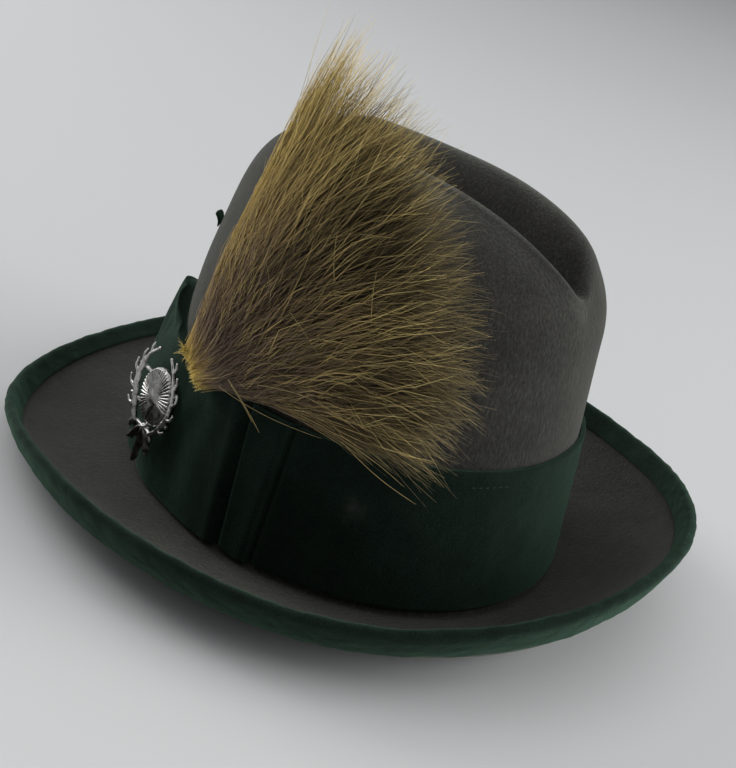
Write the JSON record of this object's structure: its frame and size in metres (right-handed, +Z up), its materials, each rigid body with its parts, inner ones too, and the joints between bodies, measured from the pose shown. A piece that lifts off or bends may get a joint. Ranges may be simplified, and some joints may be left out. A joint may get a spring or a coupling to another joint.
{
  "type": "fedora",
  "caption": "Felt fedora with a creased crown, curled bound brim, wide pleated cloth band, fan of brush hair and round metal pin, to be worn on the head.",
  "frame": {"origin": "middle of the overall box, on the plane that the brim rests on", "axes": "+Z up through the crown, -Y the way the wearer looks, +X the wearer's left"},
  "size_m": [0.2758, 0.3022, 0.2059],
  "materials": {
    "felt": "matt brushed felt",
    "cloth": "matt wool cloth",
    "hair": "stiff hair with light tips",
    "pin_metal": "polished with dark recesses"
  },
  "bodies": {
    "root": {"felt_body": "felt", "brim_binding": "cloth", "hat_band": "cloth", "hair_brush": "hair", "hat_pin": "pin_metal", "front_tab": "cloth"}
  },
  "joints": []
}
